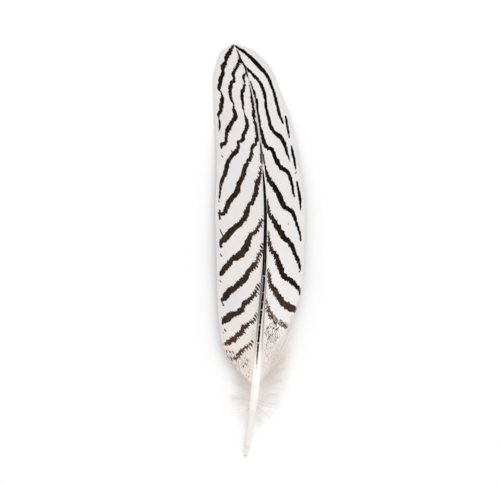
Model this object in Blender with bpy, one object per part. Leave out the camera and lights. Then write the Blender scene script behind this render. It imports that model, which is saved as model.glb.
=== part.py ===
"""A silver pheasant's wing feather, lying on a surface with its upper side up.

The quill's end is at -Y, the tip at +Y, and the surface is at Z = 0. The feather grew as one piece, so it
is one solid: a shaft that tapers from a hollow quill to a hair, and a blade of barbs on both of its sides.
"""

import bmesh
import bpy
import numpy as np

MM = 0.001

# Driving sizes, in millimetres. A station is a distance from the quill's end along the straight length.
LENGTH = 183.0  # quill's end to the tip of the blade
SHAFT_END = 179.0  # station where the shaft is lost among the last barbs
DOWN_START = 22.0  # station of the lowest downy barb's root
FIRM_START = 34.0  # station above which the barbs hook together into a firm blade
LOCK_PITCH = 3.4  # spacing of the barb locks along the shaft
BLADE_THICKNESS = 0.5  # at the shaft
EDGE_THICKNESS = 0.3  # at the barb tips
RIDGE = 0.08  # height of a lock's crest over the blade
PIT_DEPTH = 3.0  # the small opening in the quill's end
PIT_SHARE = 0.4  # its width, as a share of the quill's

# The shaft's middle line: station, sideways place, height above the surface. It arches, and both its ends
# come down to the surface.
SHAFT_LINE = (
    (0, -5.7, 0.68),
    (24, -2.2, 3.6),
    (54, 0.5, 6.5),
    (92, 2.9, 8.1),
    (112, 3.0, 7.5),
    (143, 0.2, 4.8),
    (160, -2.6, 2.7),
    (172, -6.2, 1.2),
    (183, -11.2, 0.2),
)

# The shaft's section: station, width, height
SHAFT_SIZE = (
    (0, 1.4, 1.4),
    (4, 2.0, 2.0),
    (14, 2.7, 2.7),
    (26, 3.5, 3.3),
    (36, 3.6, 3.4),
    (55, 3.1, 3.1),
    (75, 2.6, 2.7),
    (95, 1.7, 2.0),
    (125, 1.25, 1.5),
    (150, 0.7, 0.9),
    (179, 0.3, 0.4),
)
SHAFT_SIDES = 12
SQUARE_FROM, SQUARE_TO = 24.0, 45.0  # the round quill turns into the squarer upper shaft here
GROOVE = 0.3  # depth of the groove under the upper shaft, as a share of its half height

# One vane each side. Its width and its barbs' forward reach are given at the station of the barb tips.
LEFT_VANE = {
    "side": -1,
    "width": (
        (27, 4.5), (31, 6.2), (35, 8.8), (40, 12.4), (46, 15.2), (52, 16.8), (64, 18.9), (79, 20.7),
        (95, 21.7), (110, 22.2), (124, 20.9), (140, 19.4), (153, 18.5), (162, 17.2), (168, 15.6), (173, 12.8),
        (177, 9.8), (180, 6.8), (183, 0),
    ),
    "reach": ((27, 5), (33, 8), (39, 12), (47, 17), (70, 31), (100, 34), (130, 33), (150, 30), (165, 26),
              (175, 18), (180, 11), (183, 4)),
    "bow": 1.5,  # how strongly a barb bends towards the tip
    "droop": 4.2,  # how far the edge hangs below the shaft at full width
    "full_width": 22.2,
}
RIGHT_VANE = {
    "side": 1,
    "width": (
        (27, 7.4), (31, 9.4), (37, 11.4), (44, 12.6), (52, 13.4), (60, 14.2), (68, 15.9), (75, 16.9),
        (88, 17.3), (100, 17.4), (112, 17.1), (125, 16.2), (140, 15.5), (150, 14.1), (160, 12.8), (168, 12.3),
        (174, 11.0), (178, 8.8), (181, 6.2), (183, 0),
    ),
    "reach": ((27, 5), (33, 8), (39, 12), (47, 17), (70, 32), (100, 37), (130, 36), (150, 33), (165, 28),
              (175, 19), (180, 12), (183, 4)),
    "bow": 1.4,
    "droop": 4.0,
    "full_width": 17.4,
}
DROOP_POWER = 1.8
ATTACH = 0.25  # the blade leaves the shaft this share of its half height above the middle line
BARB_SHARES = (0.14, 0.3, 0.48, 0.66, 0.83, 1.0)  # where each barb line has its points

# How far the valley between two locks reaches, as a share of the barb
FIRM_VALLEY = 0.985
DOWN_VALLEY = 0.74
# Places where neighbouring barbs have come apart: side, station of the root, share of the barb still joined
SPLITS = ((-1, 38, 0.86), (-1, 92, 0.93), (1, 44, 0.84), (1, 58, 0.9), (1, 118, 0.94))

# The edges wave a little, as loose vanes do: height at the edge, and wavelength along the shaft
WAVE_HEIGHT, WAVE_LENGTH = 0.35, 37.0

FEATHER_WHITE = (0.83, 0.81, 0.79, 1.0)
ROUGHNESS = 0.6


def through(table, at, column=1):
    """A smooth curve through a table's points: cubic pieces that share their slopes at the points."""
    knots = np.array([row[0] for row in table], float)
    values = np.array([row[column] for row in table], float)
    slopes = np.gradient(values, knots)
    at = np.clip(np.asarray(at, float), knots[0], knots[-1])
    i = np.clip(np.searchsorted(knots, at) - 1, 0, len(knots) - 2)
    step = knots[i + 1] - knots[i]
    u = (at - knots[i]) / step
    return (
        values[i] * (2 * u**3 - 3 * u**2 + 1)
        + values[i + 1] * (3 * u**2 - 2 * u**3)
        + slopes[i] * step * (u**3 - 2 * u**2 + u)
        + slopes[i + 1] * step * (u**3 - u**2)
    )


def tip_stations(vane, roots):
    """Where the barbs rooted at these stations end: a root lies its reach below its tip."""
    tips = np.linspace(vane["reach"][0][0], LENGTH, 600)
    return np.interp(roots, tips - through(vane["reach"], tips), tips)


def vane_width(vane, stations):
    """The vane's width, which closes to nothing at the tip as a rounded end does."""
    return np.maximum(through(vane["width"], stations), 0)


def barb_lines(vane, roots, joined):
    """Points of every barb line, as arrays of rows by shares: sideways place, station and height.

    A barb leaves the shaft at an angle and bends towards the tip: its station grows evenly along it, and its
    distance from the shaft as 1 - (1 - share) to the power of its bow.
    """
    shares = np.outer(joined, BARB_SHARES)
    tips = tip_stations(vane, roots)
    width = vane_width(vane, tips)[:, None]
    out = width * (1 - (1 - shares) ** vane["bow"])
    station = roots[:, None] + (tips - roots)[:, None] * shares
    sideways = through(SHAFT_LINE, station) + vane["side"] * out
    lift = ATTACH * through(SHAFT_SIZE, station, 2) / 2
    droop = vane["droop"] * (out / vane["full_width"]) ** DROOP_POWER
    edge = (out / vane["full_width"]) ** 2
    wave = WAVE_HEIGHT * edge * np.sin(2 * np.pi * station / WAVE_LENGTH + vane["side"])
    height = through(SHAFT_LINE, station, 2) + lift - droop + wave
    return sideways, station, height


def joined_shares(side, roots, valley):
    """How far along its barb each line reaches: crests to the tip, valleys short of it, splits shorter still."""
    joined = np.ones(len(roots))
    joined[valley] = np.where(roots[valley] < FIRM_START, DOWN_VALLEY, FIRM_VALLEY)
    joined[-1] = 1.0
    for split_side, root, share in SPLITS:
        if split_side == side:
            nearest = np.flatnonzero(valley)[np.abs(roots[valley] - root).argmin()]
            joined[nearest] = share
    return joined


def blade_points():
    """The blade's middle surface and thickness, on a grid of barb lines by places from left edge to right."""
    locks = round((SHAFT_END - DOWN_START) / LOCK_PITCH)
    roots = np.linspace(DOWN_START, SHAFT_END, 2 * locks + 1)
    valley = np.arange(len(roots)) % 2 == 0
    left, right = (
        barb_lines(vane, roots, joined_shares(vane["side"], roots, valley))
        for vane in (LEFT_VANE, RIGHT_VANE)
    )
    lift = ATTACH * through(SHAFT_SIZE, roots, 2) / 2
    middle = (through(SHAFT_LINE, roots), roots, through(SHAFT_LINE, roots, 2) + lift)
    grid = [np.hstack([a[:, ::-1], b[:, None], c]) for a, b, c in zip(left, middle, right)]
    half = (0.0, *BARB_SHARES)
    shares = np.array(half[::-1] + half[1:])
    thickness = BLADE_THICKNESS + (EDGE_THICKNESS - BLADE_THICKNESS) * shares
    crest = np.where(valley, -RIDGE, RIDGE)[:, None] * np.minimum(4 * shares, 1)
    return np.stack([grid[0], grid[1], grid[2] + crest], axis=-1), thickness


def blade_mesh():
    """The blade as a closed plate: an upper and a lower grid, and a wall round them."""
    middle, thickness = blade_points()
    rows, columns = middle.shape[:2]
    lower, upper = middle.copy(), middle.copy()
    lower[..., 2] = np.maximum(middle[..., 2] - thickness / 2, 0)  # it lies flat where it meets the surface
    upper[..., 2] = lower[..., 2] + thickness
    points = np.concatenate([upper.reshape(-1, 3), lower.reshape(-1, 3)])
    index = np.arange(rows * columns).reshape(rows, columns)
    a, b, c, d = index[:-1, :-1], index[:-1, 1:], index[1:, 1:], index[1:, :-1]
    top = np.stack([a, b, c, d], axis=-1).reshape(-1, 4)
    bottom = top[:, ::-1] + rows * columns
    # Down the left edge, along the lowest barbs, and up the right edge. The last barbs close the tip.
    rim = np.concatenate([index[::-1, 0], index[0, 1:], index[1:, -1]])
    wall = np.stack([rim[1:], rim[:-1], rim[:-1] + rows * columns, rim[1:] + rows * columns], axis=-1)
    return points, np.concatenate([top, bottom, wall])


def shaft_mesh():
    """The shaft as rings carried along its line, from the bottom of the quill's pit out and up to the tip."""
    stations = np.concatenate([[0, 1.5, 4, 8], np.linspace(14, SHAFT_END, 34)])
    path = np.column_stack([through(SHAFT_LINE, stations), stations, through(SHAFT_LINE, stations, 2)])
    ahead = np.gradient(path, stations, axis=0)
    ahead /= np.linalg.norm(ahead, axis=1)[:, None]
    across = np.column_stack([ahead[:, 1], -ahead[:, 0], np.zeros(len(path))])
    across /= np.linalg.norm(across, axis=1)[:, None]
    up = np.cross(across, ahead)
    width, height = (through(SHAFT_SIZE, stations, column) / 2 for column in (1, 2))
    # A round section whose sides swell towards a square, with a groove along its underside
    turn = 2 * np.pi * np.arange(SHAFT_SIDES) / SHAFT_SIDES - np.pi / 2
    squareness = np.clip((stations - SQUARE_FROM) / (SQUARE_TO - SQUARE_FROM), 0, 1)
    power = 1 - 0.3 * squareness[:, None]
    wide = np.sign(np.cos(turn)) * np.abs(np.cos(turn)) ** power
    tall = np.sign(np.sin(turn)) * np.abs(np.sin(turn)) ** power
    tall[:, 0] *= 1 - GROOVE * squareness
    rings = (
        path[:, None]
        + across[:, None] * (width[:, None] * wide)[..., None]
        + up[:, None] * (height[:, None] * tall)[..., None]
    )
    mouth = path[0] + (rings[0] - path[0]) * PIT_SHARE
    rings = np.concatenate([[mouth + ahead[0] * PIT_DEPTH], [mouth], rings])
    rings[..., 2] = np.maximum(rings[..., 2], 0)
    count = len(rings)
    index = np.arange(count * SHAFT_SIDES).reshape(count, SHAFT_SIDES)
    following = np.roll(index, -1, axis=1)
    sides = np.stack([index[:-1], following[:-1], following[1:], index[1:]], axis=-1).reshape(-1, 4)
    return rings.reshape(-1, 3), [*sides.tolist(), index[0, ::-1].tolist(), index[-1].tolist()]


def feather_material():
    material = bpy.data.materials.new("barred_vane")
    material.use_nodes = True
    shader = material.node_tree.nodes["Principled BSDF"]
    shader.inputs["Base Color"].default_value = FEATHER_WHITE
    shader.inputs["Roughness"].default_value = ROUGHNESS
    shader.inputs["Metallic"].default_value = 0.0
    material.diffuse_color = FEATHER_WHITE
    return material


def add_object(name, points, faces, material):
    """One mesh object, its coinciding points merged and its faces turned outwards."""
    mesh = bpy.data.meshes.new(name)
    mesh.from_pydata((points * MM).tolist(), [], [list(face) for face in faces])
    shape = bmesh.new()
    shape.from_mesh(mesh)
    bmesh.ops.remove_doubles(shape, verts=shape.verts, dist=0.001 * MM)
    bmesh.ops.recalc_face_normals(shape, faces=shape.faces)
    shape.to_mesh(mesh)
    shape.free()
    mesh.materials.append(material)
    made = bpy.data.objects.new(name, mesh)
    bpy.context.scene.collection.objects.link(made)
    return made


def main():
    for old in list(bpy.data.objects):
        bpy.data.objects.remove(old)
    shaft_points, shaft_faces = shaft_mesh()
    blade, blade_faces = blade_mesh()
    every = np.concatenate([shaft_points, blade])
    centre = (every.min(axis=0) + every.max(axis=0)) / 2 * (1, 1, 0)
    material = feather_material()
    feather = add_object("feather", shaft_points - centre, shaft_faces, material)
    barbs = add_object("barbs_form", blade - centre, blade_faces.tolist(), material)
    barbs.hide_render = True
    barbs.display_type = "WIRE"
    grown_together = feather.modifiers.new("Grown together", "BOOLEAN")
    grown_together.operation = "UNION"
    grown_together.object = barbs


main()
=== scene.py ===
import math

import bpy
import numpy as np
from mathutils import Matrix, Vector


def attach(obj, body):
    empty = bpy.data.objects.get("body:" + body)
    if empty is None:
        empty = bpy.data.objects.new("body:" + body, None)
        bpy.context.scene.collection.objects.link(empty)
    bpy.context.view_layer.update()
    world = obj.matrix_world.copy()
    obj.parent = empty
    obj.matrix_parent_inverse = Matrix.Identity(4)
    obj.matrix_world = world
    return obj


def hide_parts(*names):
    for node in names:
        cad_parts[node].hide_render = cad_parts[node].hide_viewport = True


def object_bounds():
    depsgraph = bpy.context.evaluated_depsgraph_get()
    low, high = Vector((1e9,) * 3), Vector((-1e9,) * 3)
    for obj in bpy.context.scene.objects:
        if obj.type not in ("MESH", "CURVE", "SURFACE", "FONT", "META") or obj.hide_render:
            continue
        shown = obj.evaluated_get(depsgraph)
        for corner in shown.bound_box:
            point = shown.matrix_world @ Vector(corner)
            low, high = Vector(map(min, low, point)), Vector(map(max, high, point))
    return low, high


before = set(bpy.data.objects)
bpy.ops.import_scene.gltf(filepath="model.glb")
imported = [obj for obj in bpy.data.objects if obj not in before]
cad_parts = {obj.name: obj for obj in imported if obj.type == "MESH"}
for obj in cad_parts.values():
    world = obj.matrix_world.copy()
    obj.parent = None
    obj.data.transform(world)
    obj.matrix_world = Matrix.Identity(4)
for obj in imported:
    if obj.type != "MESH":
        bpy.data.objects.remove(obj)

# The looks of one barred white wing feather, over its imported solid. Lengths are millimetres until a mesh is
# made. A station is a distance from the quill's end, and out is a distance from the shaft's middle line.

mm = 0.001
cadLow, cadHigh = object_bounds()

# The solid's own driving sizes, so that every barb grows where the solid has it
shape = {
    "length": 183,
    "shaftEnd": 179,
    # station, sideways place, height
    "line": (
        (0, -5.7, 0.68), (24, -2.2, 3.6), (54, 0.5, 6.5), (92, 2.9, 8.1), (112, 3, 7.5), (143, 0.2, 4.8),
        (160, -2.6, 2.7), (172, -6.2, 1.2), (183, -11.2, 0.2),
    ),
    # station, width, height
    "section": (
        (0, 1.4, 1.4), (4, 2, 2), (14, 2.7, 2.7), (26, 3.5, 3.3), (36, 3.6, 3.4), (55, 3.1, 3.1),
        (75, 2.6, 2.7), (95, 1.7, 2), (125, 1.25, 1.5), (150, 0.7, 0.9), (179, 0.3, 0.4),
    ),
    "attach": 0.25,  # barbs leave the shaft this share of its half height above the middle line
    "droopPower": 1.8,
    "waveHeight": 0.35,
    "waveLength": 37,
}
originStation = shape["length"] - cadHigh.y / mm  # the station at the frame's Y = 0


# Curves of the feather

def through(table, at, column=1):
    # A smooth curve through a table's points: cubic pieces that share their slopes at the points
    knots = np.array([row[0] for row in table], float)
    values = np.array([row[column] for row in table], float)
    slopes = np.gradient(values, knots)
    at = np.clip(np.asarray(at, float), knots[0], knots[-1])
    i = np.clip(np.searchsorted(knots, at) - 1, 0, len(knots) - 2)
    step = knots[i + 1] - knots[i]
    u = (at - knots[i]) / step
    return (
        values[i] * (2 * u**3 - 3 * u**2 + 1)
        + values[i + 1] * (3 * u**2 - 2 * u**3)
        + slopes[i] * step * (u**3 - 2 * u**2 + u)
        + slopes[i + 1] * step * (u**3 - u**2)
    )


def straight(table, at, column=1):
    # The same without the smoothing, for values that must not swing past their table
    return np.interp(at, [row[0] for row in table], [row[column] for row in table])


def ease(value, low, high):
    # 0 below low, 1 above high and an S-shaped step between
    u = np.clip((value - low) / (high - low), 0, 1)
    return u * u * (3 - 2 * u)


def inPlace(side, out, station, height):
    # Points of the frame from out, station and height, in mm
    x = through(shape["line"], station) + side * out
    return np.stack([x, station - originStation, height], axis=-1)


# Noise that is shared by neighbouring barbs and drifts along each one: random knots, blended over the barbs
def barbNoise(rng, count, places, knots, blends):
    rough = rng.normal(size=(count, knots))
    for _ in range(blends):
        rough = 0.5 * rough + 0.25 * (np.roll(rough, 1, axis=0) + np.roll(rough, -1, axis=0))
    rough /= rough.std()
    at = np.linspace(0, knots - 1.001, places)
    i = at.astype(int)
    u = at - i
    return rough[:, i] * (1 - u) + rough[:, i + 1] * u


# Meshes

def placed(name, data):
    # A new object in the scene, at the origin and unturned
    made = bpy.data.objects.new(name, data)
    bpy.context.scene.collection.objects.link(made)
    return made


def unit(vectors):
    return vectors / np.linalg.norm(vectors, axis=-1, keepdims=True)


# Closed strands: rings is strand by place by corner by x, y, z in mm. Quads join ring to ring, and a cap
# closes each end. Every strand has a strip of its own in the map, so no two faces overlap there.
def strandPiece(name, rings, material, marks, columns=1, cornerShares=None, smooth=False):
    strands, places, corners = rings.shape[:3]
    index = np.arange(strands * places * corners).reshape(strands, places, corners)
    beside = np.roll(index, -1, axis=2)
    sides = np.stack([index[:, :-1], beside[:, :-1], beside[:, 1:], index[:, 1:]], axis=-1).reshape(-1, 4)
    caps = np.concatenate([index[:, 0, ::-1], index[:, -1]])
    rows = math.ceil(strands / columns)
    cellU = (np.arange(strands) // rows)[:, None, None] / columns
    cellV = (np.arange(strands) % rows)[:, None, None] / rows
    bands = np.linspace(0, 1, corners + 1) if cornerShares is None else np.array(cornerShares)
    clearSide, clearEnd, capSize, capGap = 0.04, 0.02, 0.015, 0.002  # shares of a strip
    bands = clearSide + (1 - 2 * clearSide) * bands
    along = clearEnd + (1 - 2 * clearEnd) * np.linspace(0, 1, places)
    u0, u1 = (cellU + edge[None, :, None] / columns for edge in (along[:-1], along[1:]))
    v0, v1 = (cellV + edge[None, None, :] / rows for edge in (bands[:-1], bands[1:]))
    full = (strands, places - 1, corners)
    mapSides = np.stack([
        np.stack([np.broadcast_to(u, full), np.broadcast_to(v, full)], axis=-1)
        for u, v in ((u0, v0), (u0, v1), (u1, v1), (u1, v0))
    ], axis=-2).reshape(-1, 2)
    turn = 2 * np.pi * np.arange(corners) / corners
    disc = np.stack([0.5 + 0.45 * np.cos(turn), 0.5 + 0.45 * np.sin(turn)], axis=-1)
    mapCaps = np.concatenate([
        np.stack([
            cellU[..., 0] + (start + capSize * disc[None, :, 0]) / columns,
            cellV[..., 0] + disc[None, :, 1] / rows,
        ], axis=-1)
        for start in (capGap, 1 - capSize - capGap)
    ]).reshape(-1, 2)
    mesh = bpy.data.meshes.new(name)
    mesh.vertices.add(index.size)
    mesh.vertices.foreach_set("co", (rings * mm).ravel())
    mesh.loops.add(sides.size + caps.size)
    mesh.loops.foreach_set("vertex_index", np.concatenate([sides.ravel(), caps.ravel()]))
    mesh.polygons.add(len(sides) + len(caps))
    starts = [np.arange(len(sides)) * 4, sides.size + np.arange(len(caps)) * corners]
    mesh.polygons.foreach_set("loop_start", np.concatenate(starts))
    mesh.polygons.foreach_set("use_smooth", np.full(len(sides) + len(caps), smooth))
    mesh.update(calc_edges=True)
    mesh.uv_layers.new(name="OFBake").data.foreach_set("uv", np.concatenate([mapSides, mapCaps]).ravel())
    for mark, values in marks.items():
        values = np.broadcast_to(values, (strands, places, corners))
        mesh.attributes.new(mark, "FLOAT", "POINT").data.foreach_set("value", values.ravel())
    mesh.materials.append(material)
    mesh.validate()
    piece = placed(name, mesh)
    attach(piece, "root")
    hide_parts("feather")
    print(name, len(mesh.loops) - 2 * len(mesh.polygons), "triangles")


# Shader building

def linear(red, green, blue):
    # A colour given in 0 to 255 screen values, as the shader's linear one
    screen = np.array([red, green, blue]) / 255
    value = np.where(screen <= 0.04045, screen / 12.92, ((screen + 0.055) / 1.055) ** 2.4)
    return (*value.tolist(), 1.0)


class Wire:
    # A number on its way through a material. Maths on it adds Math nodes.
    def __init__(self, recipe, socket):
        self.recipe = recipe
        self.socket = socket

    def maths(self, operation, *values, clamp=False):
        settings = {"operation": operation, "use_clamp": clamp}
        return self.recipe.node("Math", settings, dict(enumerate(values)))

    def __add__(self, other):
        return self.maths("ADD", self, other)

    def __sub__(self, other):
        return self.maths("SUBTRACT", self, other)

    def __rsub__(self, other):
        return self.maths("SUBTRACT", other, self)

    def __mul__(self, other):
        return self.maths("MULTIPLY", self, other)

    __radd__ = __add__
    __rmul__ = __mul__

    def size(self):
        return self.maths("ABSOLUTE", self)

    def sine(self):
        return self.maths("SINE", self)

    def held(self):
        # Cut to 0 to 1
        return self.maths("ADD", self, 0.0, clamp=True)

    def step(self, low, high):
        # 0 below low, 1 above high, smooth between
        return self.recipe.node(
            "MapRange", {"interpolation_type": "SMOOTHSTEP"}, {0: self, 1: low, 2: high})


class Recipe:
    # A material and its nodes
    def __init__(self, name):
        self.material = bpy.data.materials.new(name)
        self.material.use_nodes = True
        self.tree = self.material.node_tree
        self.tree.nodes.clear()

    def node(self, kind, settings, inputs, output=0):
        # Any node: its inputs are linked where they are wires, and set where they are values
        made = self.tree.nodes.new("ShaderNode" + kind)
        for name, value in settings.items():
            setattr(made, name, value)
        for name, value in inputs.items():
            if isinstance(value, Wire):
                self.tree.links.new(value.socket, made.inputs[name])
            else:
                made.inputs[name].default_value = value
        return Wire(self, made.outputs[output]) if output is not None else None

    def mark(self, name):
        # A value that the mesh carries
        return self.node("Attribute", {"attribute_name": name}, {}, "Fac")

    def place(self, scale):
        # Object coordinates, in mm, times a scale for each axis
        coords = self.node("TexCoord", {}, {}, "Object")
        size = tuple(axis / mm for axis in scale)
        return self.node("VectorMath", {"operation": "MULTIPLY"}, {0: coords, 1: size})

    def vector(self, x, y, z=0.0):
        return self.node("CombineXYZ", {}, {0: x, 1: y, 2: z})

    def noise(self, vector, detail=2.0, rough=0.5):
        inputs = {"Vector": vector, "Scale": 1.0, "Detail": detail, "Roughness": rough}
        return self.node("TexNoise", {"noise_dimensions": "3D"}, inputs)

    def mix(self, share, first, second):
        # A share of the second colour over the first: each is a node's, or given in screen values
        first, second = (linear(*value) if isinstance(value, tuple) else value for value in (first, second))
        settings = {"data_type": "RGBA", "clamp_factor": True}
        return self.node("Mix", settings, {0: share, 6: first, 7: second}, 2)

    def bump(self, height, distance, strength):
        return self.node("Bump", {}, {"Height": height, "Distance": distance, "Strength": strength})

    def finish(self, inputs):
        shader = self.node("BsdfPrincipled", {}, inputs)
        self.node("OutputMaterial", {}, {"Surface": shader}, None)
        return self.material


# The vanes' markings

leftVane = {
    "name": "vane_left",
    "side": -1,
    # station of the barb tips, width there
    "width": (
        (27, 4.5), (31, 6.8), (35, 9.8), (40, 13.2), (46, 15.5), (52, 16.8), (64, 18.9), (79, 20.7),
        (95, 21.7), (110, 22.2), (124, 20.9), (140, 19.4), (153, 18.5), (162, 17.2), (168, 15.6),
        (173, 12.8), (177, 9.8), (180, 6.8), (183, 0),
    ),
    # station of the barb tips, how far below it their roots are
    "reach": (
        (27, 5), (33, 8), (39, 12), (47, 17), (70, 31), (100, 34), (130, 33), (150, 31), (165, 28),
        (172, 24), (178, 17), (181, 11), (183, 4),
    ),
    "bow": 1.5,
    "droop": 4.2,
    "fullWidth": 22.2,
    "splits": ((38, 0.8), (92, 0.88)),  # root station, share of the barb that is still joined
    "looseFrom": 34,  # below this root the webs come apart, down to the first root
    "downyBarbs": 10,  # the lowest ones, which carry loose barbules
    # station, thickness of the bars over that of their drawn lines
    "swell": (
        (40, 1.35), (62, 1.34), (72, 1.22), (100, 1.28), (120, 1.2), (136, 1.1), (165, 1.14), (175, 1),
    ),
    # station, how brown the pigment is
    "browning": (
        (38, 0.62), (48, 0.42), (57, 0.25), (74, 0.2), (91, 0.22), (108, 0.19), (142, 0.12), (175, 0.08),
    ),
    "whitenessAndPaintedLight": ((38, 0), (100, 0), (108, 0.06), (175, 0.04)),  # station, how much whiter the web is; on the right vane, which faces the lamp, it is partly painted light
    "warmth": 0.9,  # of the web's foot
    "teeth": 1.2,  # how much of the barbs' teeth its bars get
    "seed": 4,
    # Patches of fine flecks: out and station of the middle, half sizes in both, how dense they are
    "pepper": (
        (11, 42.5, 5, 4.5, 0.85), (5, 40.5, 3, 3, 0.85), (13, 45.5, 3, 2.5, 1), (3, 37, 2, 5, 0.7),
    ),
    # The same for the fainter freckles between and below them
    "freckles": ((8, 41, 8.5, 7.5, 1.12), (4, 36.5, 4, 6, 1.1), (2, 52.5, 1.5, 4, 1)),
    # Loose flecks that run along single barbs: out, station, thickness
    "flecks": (
        (19.4, 89.1, 0.6), (19.1, 77.6, 0.4), (17.2, 67.3, 0.7), (15.4, 56, 0.7), (16.1, 54.9, 0.4),
        (13.2, 134.9, 0.4), (17.6, 132.7, 0.5), (20.4, 112.6, 0.4), (13.9, 46.6, 0.6), (12.5, 46.6, 0.6),
        (11.4, 46.6, 0.6), (14.2, 43.7, 0.6), (13, 43.7, 0.6), (11.8, 43.7, 0.6), (4.6, 42.8, 0.5),
        (5.4, 41.4, 0.5), (6.3, 40.2, 0.5),
    ),
    # Dark bars: brownness and strength, then the middle line as out, station and thickness
    "bars": (
        (0, 1, (
            (0.5, 181.6, 0.9), (3.1, 179, 1.3), (5.8, 176.7, 1.5), (7.4, 174.2, 1.3), (9.6, 172, 1.6),
            (10.4, 169.3, 1.4), (12.1, 167.1, 1.6), (13, 164.8, 1.4), (14.3, 162.3, 1.2), (13.6, 160.7, 0.4),
            (13.8, 158.3, 1.4), (14.9, 154.9, 1.7), (15.6, 152.6, 1.5), (16.9, 150.7, 1.1),
            (16.8, 149.4, 0.5), (16.7, 147.4, 0.8), (17.6, 143.7, 0.5))),
        (0, 1, (
            (-0.3, 178.4, 0.5), (0.4, 175.7, 1.4), (1.9, 173.9, 1.4), (3.3, 171.9, 1.1), (5, 170.3, 1.4),
            (6.3, 168.6, 1.3), (6.1, 166.6, 1.1), (7.8, 165.2, 1.4), (9.8, 160.5, 1.1), (10, 157.7, 1.1),
            (9.4, 155.5, 0.7), (9.7, 153.3, 1.2), (9.3, 150.8, 1.8), (11.4, 147.4, 1.7), (13.4, 144.7, 1.8),
            (14.8, 140.9, 1.2), (15.3, 138.7, 1.3), (16.8, 137.6, 1.8), (17.5, 136.4, 0.9))),
        (0, 1, (
            (-0.4, 171.8, 0.4), (0.4, 169.5, 0.6), (2, 167.3, 1.1), (2.1, 165, 0.7), (3, 163.1, 1.1),
            (4.6, 160.5, 1.3), (5.2, 155.5, 1.1), (5.2, 150.8, 0.5), (4.8, 148.9, 1), (4.8, 145.8, 1.5),
            (6.6, 142.5, 1.5), (8, 139.4, 1.4), (9.8, 138.6, 1.4), (9.8, 137, 1.1), (10.7, 134.9, 1.8),
            (13.2, 132.8, 1.6), (15.1, 130, 1.7), (17.1, 124.7, 1.6), (19, 120.6, 1.3), (19.7, 116.8, 0.8),
            (20.2, 114.1, 0.7))),
        (0, 1, (
            (-0.1, 166.2, 0.4), (0.6, 160.6, 0.8), (0.8, 156.3, 1.2), (1.3, 149.3, 1.3), (1, 143.1, 1.3),
            (1.3, 140.1, 1.5), (4.4, 134.9, 1.3), (4.6, 132.8, 1.3), (8.1, 127.4, 1.8), (9.1, 124.1, 1.8),
            (11.1, 120.5, 1.9), (12.2, 117.2, 2), (16.3, 111.8, 1.9), (17.4, 109, 1.7), (18.5, 107.2, 1.4),
            (20.2, 107.4, 1.1))),
        (0, 1, (
            (1.1, 127.6, 0.6), (1.8, 124.4, 1.4), (2.9, 121.2, 1.8), (3.6, 118.4, 1.8), (5.7, 112.3, 1.7),
            (7.9, 109.3, 1.8), (8.7, 106.2, 2), (12, 102.1, 2), (14.5, 100.2, 2.2), (16.1, 98.3, 2.4),
            (17.7, 96.1, 2.3), (19.2, 94.8, 1.8), (19.5, 92.5, 1.1))),
        (0, 1, (
            (1.5, 105.7, 0.5), (2.2, 103.1, 1.1), (3.6, 100.2, 1.5), (5.7, 97.7, 1.7), (7.3, 95.7, 2),
            (8.1, 93.4, 2.6), (9.3, 91, 2.6), (11, 89.1, 2.5), (13.2, 87.6, 2.2), (16.6, 84, 2.2),
            (18, 82, 2), (19.1, 80.4, 1.2))),
        (0, 1, (
            (1.3, 93.9, 0.6), (1.9, 90.3, 1.1), (3.3, 86.8, 1.5), (4.9, 84, 1.8), (7.3, 81, 2),
            (8.4, 78.9, 2.4), (9.9, 77.2, 2.4), (12.8, 74.5, 2.3), (15.4, 72.2, 2.6), (16.7, 70, 1.9),
            (17.6, 68.9, 1.1))),
        (0.02, 1, (
            (2.1, 76.3, 0.7), (3.1, 73.2, 1.4), (3.8, 71.4, 1.6), (5.2, 69.8, 1.7), (7.8, 67, 2),
            (8.7, 65.3, 2.2), (10.3, 63.8, 2), (12.4, 62.9, 2.1), (14.3, 61.7, 2.7), (15.7, 60.3, 2.2),
            (16.6, 59.2, 1.2))),
        (0.08, 1, (
            (1.9, 63.8, 0.4), (3, 60.9, 1), (5.7, 58.4, 1.4), (7, 57.2, 1.9), (8.1, 55.1, 1.9),
            (9.9, 53.3, 1.8), (12.8, 50.9, 2.1), (14.5, 50, 1.5))),
        (0.15, 0.72, (
            (3.3, 50.9, 0.6), (4.4, 49.7, 1.2), (5.5, 48.1, 1.4), (7.1, 46.9, 1.5), (9.4, 44, 1.6),
            (10.7, 43.2, 0.9))),
        (0, 1, ((0.1, 179.5, 0.3), (0.15, 174, 0.5), (0.2, 168, 0.5))),
        (0, 0.8, ((0.4, 135, 0.3), (0.6, 131.5, 0.9), (0.5, 129.2, 0.4))),
        (0.1, 0.9, ((20.2, 109, 0.6), (20.2, 104.7, 0.6))),
        (0.1, 0.9, ((20, 100.2, 0.4), (18.7, 97.4, 0.4))),
    ),
}
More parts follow.
